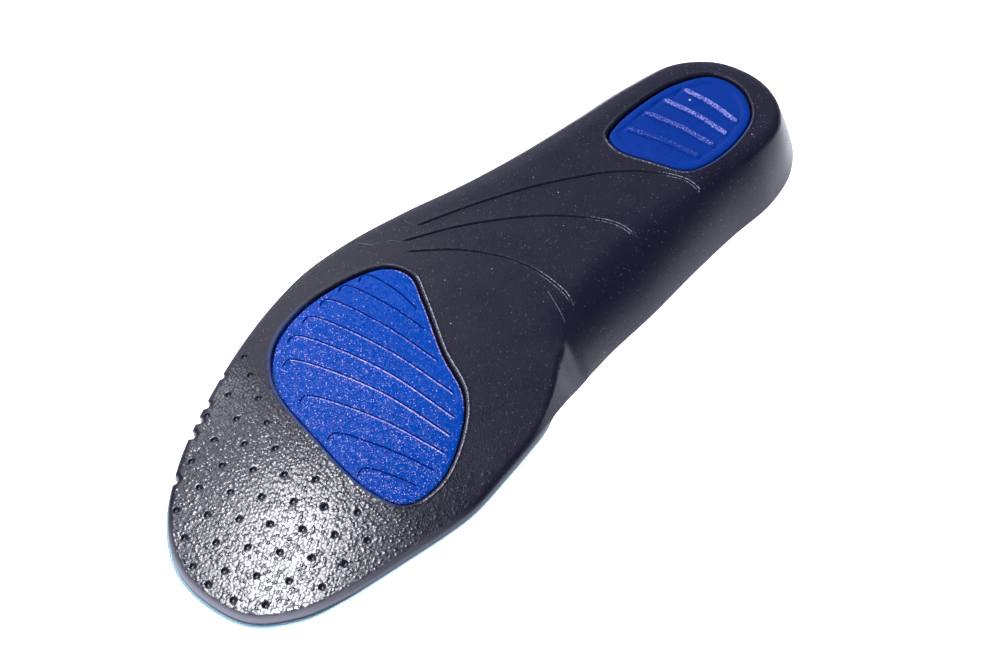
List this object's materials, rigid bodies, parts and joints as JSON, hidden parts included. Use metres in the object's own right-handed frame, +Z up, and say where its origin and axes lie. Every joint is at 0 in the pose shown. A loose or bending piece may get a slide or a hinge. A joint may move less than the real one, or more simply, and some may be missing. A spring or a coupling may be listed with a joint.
{
  "type": "boot insole",
  "caption": "Left full-length boot insole with a black foam body, deep heel cup, arch flange, blue gel pads under the ball and heel, toe air holes and a pale blue cloth top.",
  "frame": {"origin": "on the floor under the middle of the bounding box, as the insole lies foot side down", "axes": "+Z up out of the underside, +Y from the toe to the heel, +X towards the arch (inner) side"},
  "size_m": [0.1053, 0.2819, 0.0247],
  "materials": {
    "foam": "moulded black foam, satin skin, finely pebbled at the toe",
    "forefoot_gel": "blue gel, satin with a fine sparkle",
    "heel_gel": "blue gel, satin with lighter ribs",
    "cloth": "thin pale blue knit"
  },
  "bodies": {
    "root": {"foam_base": "foam", "forefoot_gel_pad": "forefoot_gel", "heel_gel_pad": "heel_gel", "top_cover": "cloth"}
  },
  "joints": []
}
